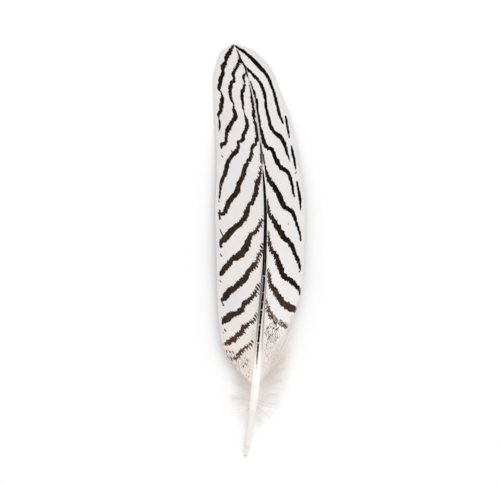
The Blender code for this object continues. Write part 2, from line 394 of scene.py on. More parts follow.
# The same entries as the left one's
rightVane = {
    "name": "vane_right",
    "side": 1,
    "width": (
        (27, 7.4), (31, 9.4), (37, 11.4), (44, 12.6), (52, 13.4), (60, 14.2), (68, 15.9), (75, 16.9),
        (88, 17.3), (100, 17.4), (112, 17.1), (125, 16.2), (140, 15.5), (150, 14.1), (160, 12.8),
        (168, 12.3), (174, 11), (178, 8.8), (181, 6.2), (183, 0),
    ),
    "reach": (
        (27, 5), (33, 8), (39, 12), (47, 17), (70, 32), (100, 37), (130, 36), (150, 33), (165, 29),
        (172, 25), (178, 18), (181, 11), (183, 4),
    ),
    "bow": 1.4,
    "droop": 4,
    "fullWidth": 17.4,
    "splits": ((44, 0.8), (58, 0.86), (118, 0.9)),
    "looseFrom": 42,
    "downyBarbs": 15,
    "swell": (
        (44, 1.3), (56, 1.1), (66, 1.25), (80, 1.18), (95, 1.02), (108, 1.16), (128, 1.26), (144, 1.3),
        (156, 1.08), (166, 1.24), (175, 1.6),
    ),
    "browning": ((38, 0.55), (57, 0.3), (66, 0.18), (74, 0.06), (91, 0.02), (108, 0), (175, 0)),
    # Mostly painted light: this vane faces the lamp and is painted whiter than the left one
    "whitenessAndPaintedLight": ((38, 0.45), (76, 0.45), (91, 0.14), (142, 0.06), (175, 0.06)),
    "warmth": 0.75,
    "teeth": 0.68,
    "seed": 9,
    "pepper": (
        (4.6, 53.5, 5, 6.5, 1.1), (2.8, 46, 2.6, 5, 0.7), (10.5, 57, 3.5, 4, 0.7), (12.5, 63, 2, 5, 0.6),
    ),
    "freckles": ((5, 45.5, 5.5, 8.5, 1.1), (3, 40, 3.5, 6, 1), (9, 54, 5, 7, 0.5)),
    "flecks": (
        (10.2, 102.9, 0.3), (15.8, 82.2, 0.5), (14.3, 125.3, 0.4), (3.2, 57, 0.5), (6.1, 57.2, 0.5),
        (7.3, 56.2, 0.5), (4.7, 53.6, 0.5),
    ),
    "bars": (
        (0, 1, (
            (-0.5, 181.8, 0.7), (1.7, 180, 1.1), (3.5, 177.9, 1.3), (5.1, 175.4, 1.5), (7.5, 170.9, 1.5),
            (8.6, 168.4, 1.4), (9.4, 163.4, 1.2), (9.8, 155.5, 1.2), (10, 151.6, 1.2), (11.1, 147.3, 0.8))),
        (0, 1, ((0.1, 179.5, 0.3), (0.15, 174, 0.4), (0.2, 168.5, 0.4))),
        (0, 0.8, ((0.3, 134, 0.3), (0.7, 131.2, 0.7), (0.8, 129.5, 0.4))),
        (0, 1, ((12.7, 150.2, 0.7), (12.9, 146.5, 0.9), (13.1, 140.9, 0.5))),
        (0, 1, ((13.5, 136.8, 0.7), (14, 131.5, 1), (14.4, 127.1, 0.6))),
        (0, 1, ((14.3, 121.2, 0.7), (15.2, 115, 1.1), (15.5, 109.1, 0.6))),
        (0, 1, (
            (0.6, 172.2, 0.4), (1.6, 170.2, 1.1), (4.1, 166.1, 1.4), (5.3, 160.7, 1.3), (5, 157.2, 1.3),
            (4.7, 153.3, 1.1), (5.2, 149.3, 1.2), (5.4, 145.8, 1.3), (6.9, 143, 1.5), (9.2, 141.1, 1.7),
            (10.3, 138.7, 1.4), (11.2, 134.3, 1.1), (12.1, 130.7, 0.5))),
        (0, 1, (
            (0.1, 166, 0.4), (0.6, 162.5, 0.7), (1.1, 157.7, 1.2), (0.7, 153, 1.1), (0.8, 148, 1),
            (1.2, 141.8, 1.3), (2.6, 136.8, 1.6), (4.6, 135.4, 1.6), (5.7, 132.1, 1.6), (8.3, 127.1, 1.6),
            (10.4, 125.6, 1.7), (11.6, 122.7, 1.3), (12.2, 118.9, 1.1), (12.9, 114.6, 0.5))),
        (0, 1, (
            (0.6, 129.7, 0.4), (0.9, 126.6, 1.2), (2.3, 122, 1.8), (4.7, 118.2, 1.9), (6.6, 114.5, 2.1),
            (7.6, 111.6, 2.1), (9.1, 109.7, 1.9), (11.1, 108.6, 1.7), (12.4, 106.4, 1.5), (14, 102, 1.2),
            (15.2, 98.2, 1), (15.6, 95.3, 0.6))),
        (0, 1, (
            (0.9, 113.4, 0.6), (1.4, 108.4, 1.4), (2.9, 104.9, 1.7), (5, 102.2, 2.2), (6.9, 98.5, 2.5),
            (8.2, 96.4, 2.3), (10.3, 94.9, 2.1), (11.7, 93, 1.9), (13.2, 89.5, 1.7), (14.7, 86.5, 1.5),
            (15.7, 83.1, 0.9))),
        (0, 1, (
            (1.2, 99.4, 0.7), (1.7, 95.2, 1.3), (2.7, 91.4, 1.7), (4.9, 88.3, 2.1), (6.4, 85, 2.2),
            (7.6, 82.2, 2.3), (8.9, 79.5, 2.1), (11.3, 78.3, 1.9), (13.2, 76.5, 1.8), (15, 74.8, 1.5),
            (16.1, 73.3, 1.2), (16.3, 71.9, 0.6))),
        (0.12, 1, (
            (1.4, 83.5, 0.4), (2.2, 79.8, 1.3), (3.7, 74.9, 1.7), (5.6, 72.6, 2), (7.4, 70.2, 2.3),
            (9.3, 67.9, 2.4), (11.8, 66.2, 2.6), (14, 65, 2.5))),
        (0.25, 0.52, (
            (1.7, 69.9, 0.5), (2.6, 66.1, 1.3), (3.7, 63.3, 1.9), (5.4, 61.2, 2.2), (7.5, 59.4, 2.1),
            (9.9, 58.7, 1.9), (11.3, 57.3, 1.7))),
    ),
}

fleck = {
    "length": 1.1,
    "lean": 0.6,  # how far out it runs for its length
    "tip": 0.6,  # its outer end's thickness over its inner one's
    "brownness": 0.35,
    "strength": 0.85,
    "swell": ((0, 1.2), (180, 1.2)),
}


def drawnLine(points, spacing=0.7):
    # A smooth line through given points of out, station and thickness
    points = np.array(points)
    reach = np.concatenate([[0], np.cumsum(np.hypot(*np.diff(points[:, :2], axis=0).T))])
    at = np.linspace(0, reach[-1], max(2, math.ceil(reach[-1] / spacing) + 1))
    table = np.column_stack([reach, points])
    return np.column_stack([through(table, at, column) for column in (1, 2, 3)])


def barDepth(out, station, bars, swell, margin=3.0):
    # How far inside a bar each place is: half the bar's thickness less the distance from its middle line.
    # The nearest bar also gives its brownness and its strength.
    depth = np.full(out.shape, -margin)
    brown, strength = np.zeros(out.shape), np.ones(out.shape)
    for brownness, force, points in bars:
        line = drawnLine(points)
        line[:, 2] *= straight(swell, line[:, 1])
        low, high = line[:, :2].min(axis=0) - margin, line[:, :2].max(axis=0) + margin
        near = (out > low[0]) & (out < high[0]) & (station > low[1]) & (station < high[1])
        place = np.stack([out[near], station[near]], axis=-1)
        best = np.full(len(place), -margin)
        for first, second in zip(line[:-1], line[1:]):
            run = second[:2] - first[:2]
            share = np.clip((place - first[:2]) @ run / (run @ run), 0, 1)
            gap = np.linalg.norm(place - first[:2] - share[:, None] * run, axis=1)
            best = np.maximum(best, (first[2] + share * (second[2] - first[2])) / 2 - gap)
        nearer = best > depth[near]
        for values, new in ((depth, best), (brown, brownness), (strength, force)):
            values[near] = np.where(nearer, new, values[near])
    return depth, brown, strength


def fleckBars(flecks):
    # A fleck is a short bar along a barb, and its place is its middle
    halfOut = fleck["length"] / 2 * fleck["lean"]
    halfStation = fleck["length"] / 2 * math.sqrt(1 - fleck["lean"] ** 2)
    return tuple(
        (fleck["brownness"], fleck["strength"], (
            (out - halfOut, station - halfStation, thickness),
            (out + halfOut, station + halfStation, thickness * fleck["tip"])))
        for out, station, thickness in flecks
    )


def peppered(out, station, patches):
    # How dense the fine flecks are: each patch fades from its middle to its rim, and the densest one counts
    dense = np.zeros(out.shape)
    for middleOut, middleStation, halfOut, halfStation, amount in patches:
        away = np.hypot((out - middleOut) / halfOut, (station - middleStation) / halfStation)
        dense = np.maximum(dense, amount * (1 - ease(away, 0.5, 1.15)))
    return dense


# The webs' finish

web = {
    "white": (234, 230, 227),
    "shade": (230, 226, 223),  # slightly greyer patches of it
    "cool": (227, 227, 230),  # and bluer ones
    "whitest": (250, 246, 244),
    "warm": (241, 228, 220),
    "grey": (205, 199, 194),  # a little of it in each barb, more or less
    "ink": (4, 2, 1),
    "brown": (110, 82, 64),
    # Noise on the barbs: how fine it is along a barb, how fine from barb to barb, and which layer it reads
    "fray": (1.5, 0.61, 0),
    "gaps": (0.8, 0.71, 11),
    "spots": (1.9, 0.9, 7),
    "dust": (2.6, 1.3, 5),
    "patches": (0.35, 0.12, 3),
    "edge": 0.08,  # half the width over which a bar's edge turns from white to dark
    "frayed": 0.3,  # how far the noise moves the edges
    "dustInk": 0.38,  # how dark the freckles are
    "barbules": 46,  # how close the barbules' relief is along a barb, in radians a mm
    "relief": 0.00002,  # its height in metres
}


def barredWeb():
    # White barbs with dark bars. The pigment mark is how far inside a bar a place is, in mm, and noise that
    # runs along each barb frays the bars' edges.
    made = Recipe("barredWeb")
    along, barb, across = made.mark("along"), made.mark("barb"), made.mark("across")

    def barbed(name, detail, rough=0.5):
        fineAlong, fineAcross, layer = web[name]
        return made.noise(made.vector(along * fineAlong, barb * fineAcross, layer), detail, rough)

    edge = web["edge"]
    whole = (made.mark("strength") * 1.15 - barbed("gaps", 1.0)).step(-0.04, 0.08)
    bar = (made.mark("pigment") + (barbed("fray", 3.0, 0.6) - 0.5) * web["frayed"]).step(-edge, edge) * whole
    spots = (barbed("spots", 0.0) + made.mark("pepper") * 0.35).step(0.92, 0.98) * 0.9
    dust = (barbed("dust", 0.0) + made.mark("freckle") * 0.3).step(0.82, 0.98) * web["dustInk"]
    spots = spots.maths("MAXIMUM", spots, dust)
    ink = bar.maths("MAXIMUM", bar, spots) * (1 - made.mark("under") * 0.3)
    drift = made.noise(made.place((0.07, 0.045, 0.07)))
    clean = made.mix(drift.step(0.38, 0.66), web["white"], web["shade"])
    cool = made.noise(made.place((0.11, 0.07, 0.11)), 1.0)
    clean = made.mix(cool.step(0.52, 0.68) * 0.7, clean, web["cool"])
    # A whiter web, which on the right vane is partly painted light from the lamp's side
    clean = made.mix(made.mark("whitenessAndPaintedLight"), clean, web["whitest"])
    clean = made.mix(made.mark("warm"), clean, web["warm"])
    clean = made.mix(made.mark("tone") * 0.1, clean, web["grey"])
    brown = (made.mark("brown") + (barbed("patches", 2.0) - 0.5) * 0.6 - spots * 0.35).held()
    dark = made.mix(brown, web["ink"], web["brown"])
    ridge = (1 - across * 2.6).held()
    barbules = (along * web["barbules"] + across * 5.0).sine()
    return made.finish({
        "Base Color": made.mix(ink, clean, dark),
        "Roughness": 0.72 - ink * 0.2,
        "Normal": made.bump(ridge + barbules * 0.12 * (1 - ridge), web["relief"], 0.6),
        "Specular IOR Level": 0.05,
    })


# The vanes' barbs

barbs = {
    "count": 250,  # barbs of one vane
    "places": 88,  # rings along a barb
    "firstRoot": 30,
    "start": 0.3,  # a barb starts inside the shaft, this share of its width out from the middle line
    "shortest": 0.5,  # most that a barb's end falls short of the edge
    "lap": 0.56,  # half of a barb's web, as a share of the barbs' spacing
    "shingle": 0.012,  # how much a web's upper edge lies over the next one's lower edge
    "crest": 0.035,  # the barb's own ridge over its web
    "keel": 0.11,  # the barb's depth under its web
    "keelTaper": 0.6,  # how much shallower the keel is at the barb's end
    "clearance": 0.15,  # least height of a web, so that its keel clears the surface
    "taper": 1.5,  # length over which a barb's end narrows to a hair
    "hair": 0.08,  # the hair's width, as a share of the web's
    "waver": 0.03,  # how much the webs' heights vary at the edge
    "opening": 0.45,  # half width of a split at the edge
    "openingSpan": 3,  # how far along the shaft the barbs beside a split give way
    "openingFrom": 0.7,  # where a split starts, as a share of what is joined
    # The loose barbs at the foot: how much they stray sideways and in height, and how much narrower they are
    "looseSlide": 0.8,
    "looseWaver": 0.45,
    "looseNarrow": 0.45,
    "firstNarrow": 0.8,  # how much narrower the first barb is
    "firstSpan": 2.5,  # up to this far above it they widen
    "toothSpan": 2.9,  # barbs from one tooth of a bar's edge to the next
    # station, how far the bars' edges are torn along the barbs
    "ragged": ((38, 0.45), (60, 0.36), (92, 0.32), (112, 0.3), (135, 0.3), (181, 0.28)),
    # station, how far barbs in turn reach out of the edges as teeth
    "toothed": (
        (38, 0.3), (47, 0.27), (54, 0.24), (72, 0.21), (90, 0.19), (104, 0.15), (116, 0.11), (128, 0.06),
        (142, 0),
    ),
    # Browner pigment beside the shaft: how much, how far out, and the stations over which it ends
    "brownBase": ((0.35, 2.5, 95, 120), (0.12, 5, 120, 150)),
    "warmFoot": (34, 66),  # the stations over which the warm foot turns white
}


def barbCourse(vane, roots, shares):
    # Out, station and height of places on barbs. Station grows evenly with the share, out as 1 - (1 - share)
    # to the power of the bow, and the height falls from the shaft with out to the droop's power.
    tips = np.linspace(vane["reach"][0][0], shape["length"], 600)
    tip = np.interp(roots, tips - through(vane["reach"], tips), tips)[:, None]
    width = np.maximum(through(vane["width"], tip), 0)
    out = width * (1 - (1 - np.clip(shares, 0, 1)) ** vane["bow"])
    station = roots[:, None] + (tip - roots[:, None]) * shares
    lift = shape["attach"] * through(shape["section"], station, 2) / 2
    droop = vane["droop"] * (out / vane["fullWidth"]) ** shape["droopPower"]
    turn = 2 * np.pi * station / shape["waveLength"] + vane["side"]
    wave = shape["waveHeight"] * (out / vane["fullWidth"]) ** 2 * np.sin(turn)
    return out, station, through(shape["line"], station, 2) + lift - droop + wave


def looseBarbs(rng, vane, roots, way, shares, length):
    # How the barbs leave their even course: their slide along the feather, their lift and their width
    count, places = shares.shape
    loose = 1 - ease(roots, barbs["firstRoot"], vane["looseFrom"])[:, None]
    slide = loose * shares**2 * barbs["looseSlide"] * barbNoise(rng, count, places, 4, 0)
    for root, joined in vane["splits"]:
        apart = (roots - root)[:, None]
        start = barbs["openingFrom"] * joined
        parted = np.clip((shares - start) / (1 - start), 0, 1)
        nearness = np.exp(-np.abs(apart) / barbs["openingSpan"])
        slide = slide + np.sign(apart) * nearness * barbs["opening"] * parted**2
    waver = barbs["waver"] + barbs["looseWaver"] * loose
    lift = waver * shares * barbNoise(rng, count, places, 4, 1)
    # A web comes apart into barbules from the shaft on in the lowest barbs, and nowhere in the firm ones
    free = ease(1.5 * loose + 0.9 * shares, 1.0, 1.9)
    grown = ease(roots, barbs["firstRoot"], barbs["firstRoot"] + barbs["firstSpan"])[:, None]
    narrow = np.clip((1 - way) * length / barbs["taper"], barbs["hair"], 1)
    narrow = narrow * (1 - barbs["looseNarrow"] * free) * (1 - barbs["firstNarrow"] * (1 - grown))
    return slide, lift, narrow


def tornEdges(rng, vane, out, station):
    # How far the pigment is shifted along each barb, most beside the shaft, and how much it reaches out of
    # the drawn bars as teeth, which take turns from barb to barb
    count, places = out.shape
    tear = straight(barbs["ragged"], station)
    slow, quick, swell, even = (barbNoise(rng, count, places, 14, blends) for blends in (2, 0, 0, 3))
    torn = tear * (1 + 0.6 * np.exp(-out / 3)) * (0.55 * slow + 0.4 * quick)
    turns = 2 * np.pi * np.arange(count)[:, None] / barbs["toothSpan"]
    inTurn = np.tanh(2.5 * np.cos(turns + 0.9 * even))
    # Teeth are longest beside the shaft, and only the lowest bars have them all along
    bite = 0.3 + 0.5 * (1 - ease(station, 48, 64)) + 1.9 * np.exp(-((out / 4.5) ** 2))
    return torn, vane["teeth"] * straight(barbs["toothed"], station) * bite * inTurn + 0.3 * tear * swell


# Every barb is a closed ribbon along its course: an upper and a lower web edge half-way to its neighbours, a
# ridge on top and a keel below. The webs overlap like shingles.
def vanePiece(vane, material):
    rng = np.random.default_rng(vane["seed"])
    count, places, side = barbs["count"], barbs["places"], vane["side"]
    roots = np.linspace(barbs["firstRoot"], shape["shaftEnd"], count)
    offset = barbs["lap"] * (roots[1] - roots[0])
    way = np.linspace(0, 1, places)[None, :]
    out, station, _ = barbCourse(vane, roots, np.repeat(way, count, axis=0))
    length = np.hypot(np.diff(out), np.diff(station)).sum(axis=1, keepdims=True)
    inside = barbs["start"] * through(shape["section"], roots)[:, None] / np.maximum(out[:, -1:], 0.3)
    first = 1 - (1 - np.minimum(inside, 0.9)) ** (1 / vane["bow"])
    last = 1 - barbs["shortest"] * rng.random((count, 1)) / length
    shares = first + (last - first) * way
    slide, lift, narrow = looseBarbs(rng, vane, roots, way, shares, length)
    torn, teeth = tornEdges(rng, vane, out, station)
    shifted = np.clip(shares + torn / length, 0, 1)
    courses = [barbCourse(vane, roots + step, shares) for step in (-offset, 0, offset)]
    pigments = [barbCourse(vane, roots + step, shifted)[:2] for step in (-offset, 0, offset)]
    flecks = fleckBars(vane["flecks"])
    rows = []
    for part, (away, at, height) in enumerate(courses):
        away, at, height = (
            centre + narrow * (value - centre) for centre, value in zip(courses[1], (away, at, height)))
        level = np.maximum(height + lift, barbs["clearance"]) + (part - 1) * barbs["shingle"]
        paintOut, paintAt = (
            centre + narrow * (value - centre) for centre, value in zip(pigments[1], pigments[part]))
        drawn = barDepth(paintOut, paintAt, vane["bars"], vane["swell"])
        loose = barDepth(paintOut, paintAt, flecks, fleck["swell"])
        drawn = (drawn[0] + teeth, *drawn[1:])
        inFleck = loose[0] > drawn[0]
        paint = [np.where(inFleck, a, b) for a, b in zip(loose, drawn)]
        rows.append((inPlace(side, away, at + slide, level), *paint))
    low, middle, high = rows
    order = (high, middle, low, middle) if side > 0 else (low, middle, high, middle)
    rings, pigment, brown, strength = (np.stack([row[i] for row in order], axis=2) for i in range(4))
    rings[:, :, 1, 2] += barbs["crest"] * narrow
    rings[:, :, 3, 2] -= barbs["keel"] * narrow * (1 - barbs["keelTaper"] * shares)
    brown += straight(vane["browning"], station)[..., None]
    for amount, reach, start, end in barbs["brownBase"]:
        brown += (amount * np.exp(-out / reach) * (1 - ease(station, start, end)))[..., None]
    marks = {
        "pigment": pigment,
        "brown": brown,
        "strength": strength,
        "warm": (vane["warmth"] * (1 - ease(station, *barbs["warmFoot"])))[..., None],
        "whitenessAndPaintedLight": straight(vane["whitenessAndPaintedLight"], station)[..., None],
        "pepper": peppered(out, station, vane["pepper"])[..., None],
        "freckle": peppered(out, station, vane["freckles"])[..., None],
        "tone": rng.random((count, 1, 1)),
        "barb": np.arange(count)[:, None, None],
        "along": (shares * length)[..., None],
        "across": np.array([1.0, 0.0, 1.0, 0.0]),
        "under": np.array([0.0, 0.0, 0.0, 1.0]),
    }
    strandPiece(vane["name"], rings, material, marks, cornerShares=(0, 0.4, 0.8, 0.9, 1))
    return rings[:, :, 1]  # the ridges, for the loose barbules


# Shaft

shaft = {
    "rings": 420,
    "corners": 48,
    "squareFrom": 24,
    "squareTo": 45,
    "squareness": 0.3,
    "groove": 0.3,
    "grooveWidth": 0.5,  # radians of the section
    "endRound": 0.6,  # the length over which the quill's end is rounded
    "endRings": 7,  # finer rings there, over twice that length
    "endWidth": 0.72,  # width of the very end, as a share of the full one
    "tipLength": 6,
    "tipNarrow": 0.7,  # how much narrower the tip gets over that length
    # The pit in the quill's end, from its floor to its lip: depth, and width as a share of the end's
    "pit": ((3, 0.02), (3, 0.3), (1.5, 0.4), (0.25, 0.45), (0, 0.62)),
    # station, width of the dark stripe, its sideways place, its strength
    "stripe": (
        (36, 0, -0.2, 0), (40, 0.4, -0.25, 0.4), (44, 0.75, -0.32, 0.85), (49.5, 0.9, -0.35, 1),
        (51, 1, -0.35, 1), (58, 0.95, -0.25, 1), (64, 0.95, -0.1, 1), (70, 1.1, 0.1, 1), (72, 0.9, 0.2, 1),
        (79, 0.9, 0.2, 1), (80.5, 1.5, -0.05, 1), (83, 1.65, -0.07, 1), (90, 1.6, -0.07, 1),
        (96, 1.5, -0.07, 1), (106, 1.45, -0.1, 1), (114, 1.35, -0.15, 1), (120, 1.1, -0.15, 1),
        (124, 0.7, -0.15, 1), (126, 0.4, -0.1, 1), (127, 0, 0, 0), (128.6, 0.9, -0.1, 0.2),
        (130, 1.5, -0.05, 0.7), (132, 1.4, 0, 0.75), (134, 0.95, 0, 0.93), (137, 0.85, 0, 0.9),
        (139, 0.4, 0, 0.5), (141, 0, 0, 0), (166, 0, 0, 0), (168, 0.65, 0, 1), (179, 0.65, 0, 1),
    ),
    # station, how strong the painted shade is on the shaft's left wall, left of the stripe, the side away
    # from the lamp
    "leftWallShadeAmount": (
        (54, 0), (60, 0.3), (66, 0.8), (74, 1), (80, 1), (83, 0.3), (95, 0.15), (104, 0.2), (108, 0.55),
        (115, 0.45), (119, 0.1), (124, 0.3), (127, 0.6), (130, 0.8), (134, 0.4), (138, 0),
    ),
    # station and strength of pale breaks in the stripe
    "nicks": ((50.4, 1), (58.6, 0.6), (65, 0.85), (68.6, 0.3), (72.7, 0.6), (79.9, 1.1)),
    "quill": (241, 236, 228),
    # Stations over which a new colour takes over: first on the quill, then on the shaft
    "quillTones": ((20.8, 22, (248, 244, 237)), (24, 34, (252, 249, 245))),
    "shaftTones": (
        (42, 52, (238, 228, 218)), (54, 64, (219, 207, 202)), (86, 98, (250, 246, 242)),
        (124, 132, (206, 202, 200)),
    ),
    # Growth rings on the quill: station, half widths where they are full and gone, strength, colour
    "growth": ((21.5, 0.1, 0.6, 0.6, (253, 250, 245)), (4.3, 0.5, 1.2, 0.4, (214, 203, 184))),
    "quillGrain": (224, 213, 198),
    "quillSpecks": (200, 184, 162),
    "quillEnd": (184, 182, 178),
    "streaks": (220, 208, 190),
    # The colour of the painted shade on the shaft's left wall
    "wall": (112, 107, 111),
    # The colour of the painted shade along both edges of the shaft
    "rim": (136, 123, 114),
    # The stripe's colour below station 43, from 52 to 60, and above 84
    "inks": ((58, 46, 38), (28, 20, 17), (7, 6, 6)),
}


def hornShaft():
    # Cream quill that turns white and then grey-pink up the shaft, with a dark stripe along its upper side
    made = Recipe("hornShaft")
    station = made.mark("station")
    across = made.mark("across")
    streak = made.noise(made.place((1.6, 0.05, 1.6)), 3.0)
    fine = made.noise(made.place((5.0, 0.35, 5.0)))
    grain = made.noise(made.place((2.6, 0.07, 2.6)), 1.0)
    speck = made.noise(made.place((2.2, 1.1, 2.2)), 1.0)
    horn = shaft["quill"]
    for start, end, tone in shaft["quillTones"]:
        horn = made.mix(station.step(start, end), horn, tone)
    low = 1 - station.step(19, 26)
    horn = made.mix(grain.step(0.5, 0.66) * low * 0.5, horn, shaft["quillGrain"])
    horn = made.mix(speck.step(0.68, 0.76) * low * 0.45, horn, shaft["quillSpecks"])
    for at, full, gone, strength, tone in shaft["growth"]:
        horn = made.mix((1 - (station - at).size().step(full, gone)) * strength, horn, tone)
    horn = made.mix((1 - station.step(0.2, 1.0)) * 0.6, horn, shaft["quillEnd"])
    for start, end, tone in shaft["shaftTones"]:
        horn = made.mix(station.step(start, end), horn, tone)
    horn = made.mix(streak.step(0.5, 0.78) * 0.3, horn, shaft["streaks"])
    # Painted shade: the shaft's left wall, which faces away from the lamp, is greyed
    wall = (across * -1.0).step(0.0, 0.3) * made.mark("leftWallShadeAmount") * (0.65 + fine * 0.7)
    horn = made.mix(wall * 0.95, horn, shaft["wall"])
    # Painted shade along both edges of the shaft, where its sides turn away from the light
    rim = across.size().step(0.58, 0.74) * station.step(40, 58) * (1 - station.step(72, 84))
    horn = made.mix(rim * 0.8, horn, shaft["rim"])
    # Below station 80 the stripe is a row of thick and thin pieces with pale breaks between them
    uneven = made.noise(made.vector(station * 0.9, 5.0)) - 0.5
    torn = (fine - 0.5) * 0.25 + uneven * 0.6 * (1 - station.step(79, 82))
    stripe = (made.mark("stripe") + torn).step(-0.06, 0.04) * made.mark("strength")
    lean = station + across * 0.3
    nick = sum((1 - (lean - at).size().step(0.05, 0.34)) * force for at, force in shaft["nicks"])
    stripe = stripe * (1 - nick * (0.3 + grain * 1.1)).held()
    # A painted highlight: a faint pale streak along its middle
    highlightStreak = (1 - (across + 0.04).size().step(0.02, 0.12)) * station.step(80, 83)
    stripe = stripe * (1 - highlightStreak * (1 - station.step(90, 97)) * fine.step(0.4, 0.6) * 0.35)
    lowInk, middleInk, highInk = shaft["inks"]
    dark = made.mix(station.step(60, 84), middleInk, highInk)
    dark = made.mix(station.step(43, 52), lowInk, dark)
    return made.finish({
        "Base Color": made.mix(stripe, horn, dark),
        "Roughness": 0.36 + fine * 0.16,
        "Normal": made.bump(streak * 0.7 + fine * 0.3, 0.00012, 0.5),
        "Specular IOR Level": 0.06,
    })


# A profile carried along the shaft's line: a round quill whose section swells towards a square, with a
# groove under it and a small pit in its end. Width and height come from the section's table.
def shaftPiece(material):
    fineEnd = 2 * shaft["endRound"]
    stations = np.concatenate([
        np.linspace(0, fineEnd, shaft["endRings"] + 1)[:-1],
        np.linspace(fineEnd, shape["shaftEnd"], shaft["rings"] - shaft["endRings"]),
    ])
    path = np.column_stack([through(shape["line"], stations), stations, through(shape["line"], stations, 2)])
    ahead = unit(np.gradient(path, stations, axis=0))
    across = unit(np.column_stack([ahead[:, 1], -ahead[:, 0], np.zeros(len(path))]))
    up = np.cross(across, ahead)
    turn = -np.pi / 2 - 2 * np.pi * np.arange(shaft["corners"]) / shaft["corners"]
    squared = ease(stations, shaft["squareFrom"], shaft["squareTo"])[:, None]
    power = 1 - shaft["squareness"] * squared
    wide = np.sign(np.cos(turn)) * np.abs(np.cos(turn)) ** power
    tall = np.sign(np.sin(turn)) * np.abs(np.sin(turn)) ** power
    around = np.abs((turn + np.pi / 2 + np.pi) % (2 * np.pi) - np.pi)  # angle from straight down
    tall = tall * (1 - shaft["groove"] * squared * np.exp(-((around / shaft["grooveWidth"]) ** 2)))
    # The quill's end is rounded over, and the shaft's tip closes to a hair
    toRound = np.clip(1 - stations / shaft["endRound"], 0, 1)
    toTip = ease(stations, shape["shaftEnd"] - shaft["tipLength"], shape["shaftEnd"])
    size = shaft["endWidth"] + (1 - shaft["endWidth"]) * np.sqrt(1 - toRound**2)
    size = size * (1 - shaft["tipNarrow"] * toTip)
    width, height = (through(shape["section"], stations, column) / 2 * size for column in (1, 2))
    sideways, upwards = width[:, None] * wide, height[:, None] * tall
    rings = path[:, None] + across[:, None] * sideways[..., None] + up[:, None] * upwards[..., None]
    depths, shares = (np.array(column)[:, None, None] for column in zip(*shaft["pit"]))
    pit = rings[0] + (path[0] - rings[0]) * (1 - shares) + ahead[0] * depths
    every = np.concatenate([pit, rings])
    every[..., 2] = np.maximum(every[..., 2], 0)
    every[..., 1] -= originStation
    pitRows = np.zeros((len(pit), len(turn)))
    at = np.concatenate([np.zeros(len(pit)), stations])[:, None]
    stripeWidth, stripeAside, strength = (straight(shaft["stripe"], at, column) for column in (1, 2, 3))
    stripe = stripeWidth / 2 - np.abs(np.concatenate([pitRows, sideways]) - stripeAside)
    onTop = np.concatenate([pitRows, tall]) > 0.05
    marks = {
        "station": at, "stripe": np.where(onTop, stripe, -2.0), "strength": strength,
        "leftWallShadeAmount": straight(shaft["leftWallShadeAmount"], at), "across": np.concatenate([pitRows, wide]),
    }
    marks = {mark: np.broadcast_to(value, onTop.shape)[None] for mark, value in marks.items()}
    strandPiece("shaft", every[None], material, marks, smooth=True)


# Down

down = {
    # side, lowest and highest root, how many barbs, then at the lowest and the highest: the angle from the
    # tip's direction, and the length
    "tufts": (
        (-1, 24, 38, 40, (80, 50), (8, 13.5)),
        (1, 24, 46, 52, (98, 60), (10.5, 13.5)),
        (1, 32, 43, 14, (86, 70), (13, 15)),
        (-1, 20.5, 25, 6, (140, 100), (6, 8)),
        (1, 20.5, 25, 7, (150, 108), (7, 10)),
    ),
    "wisps": ((-1, 21, 25, 4, (128, 90), (8, 10)), (1, 21, 25, 5, (146, 104), (8, 12))),
    "places": 40,  # rings along a barb
    "curl": 22,  # degrees
    "wispCurl": 44,
    "lengths": (0.75, 1.15),  # of a barb, over its tuft's own
    "tips": (1.2, 3.2),  # heights of the lowest barbs' tips
    "tipRise": 2.4,  # how much higher the highest barbs' tips are
    "lowest": 0.25,  # least height of a barb's middle line
    "barbWidth": 0.15,
    "wispWidth": 0.1,
    "barbules": 56,  # on one barb, none on a wisp
    "barbuleLength": 1.3,
    "vaneBarbuleLength": 1.4,  # on the vanes' lowest barbs
    "barbuleWidth": 0.045,
    "white": (255, 253, 251),
    "warm": (255, 246, 237),
    "warmFrom": 25,  # the stations over which the down turns warm
    "warmTo": 37,
    "strand": (249, 230, 217),  # half of it in the darkest strands
    "shade": (246, 238, 234),
    "wisp": (208, 198, 190),
    "seed": 21,
}


def looseDown():
    # Off-white down, a little greyer from one strand to the next
    made = Recipe("looseDown")
    shade = made.noise(made.place((0.25, 0.25, 0.25)))
    colour = made.mix(made.mark("warm"), down["white"], down["warm"])
    colour = made.mix(made.mark("tone") * 0.5, colour, down["strand"])
    colour = made.mix(shade.step(0.45, 0.7) * 0.15, colour, down["shade"])
    colour = made.mix(made.mark("wisp"), colour, down["wisp"])
    return made.finish({"Base Color": colour, "Roughness": 0.8, "Specular IOR Level": 0.2})


def tubes(path, radius, corners):
    # Rings round many paths at once, strand by place by corner: the path, plus its radius times cos(turn) to
    # its side and sin(turn) upwards
    ahead = unit(np.gradient(path, axis=1))
    beside = unit(np.cross(ahead, (0.03, 0.02, 1.0)))
    above = np.cross(ahead, beside)
    turn = 2 * np.pi * np.arange(corners)[:, None] / corners
    ring = np.cos(turn) * beside[:, :, None] + np.sin(turn) * above[:, :, None]
    return path[:, :, None] + radius[..., None, None] * ring


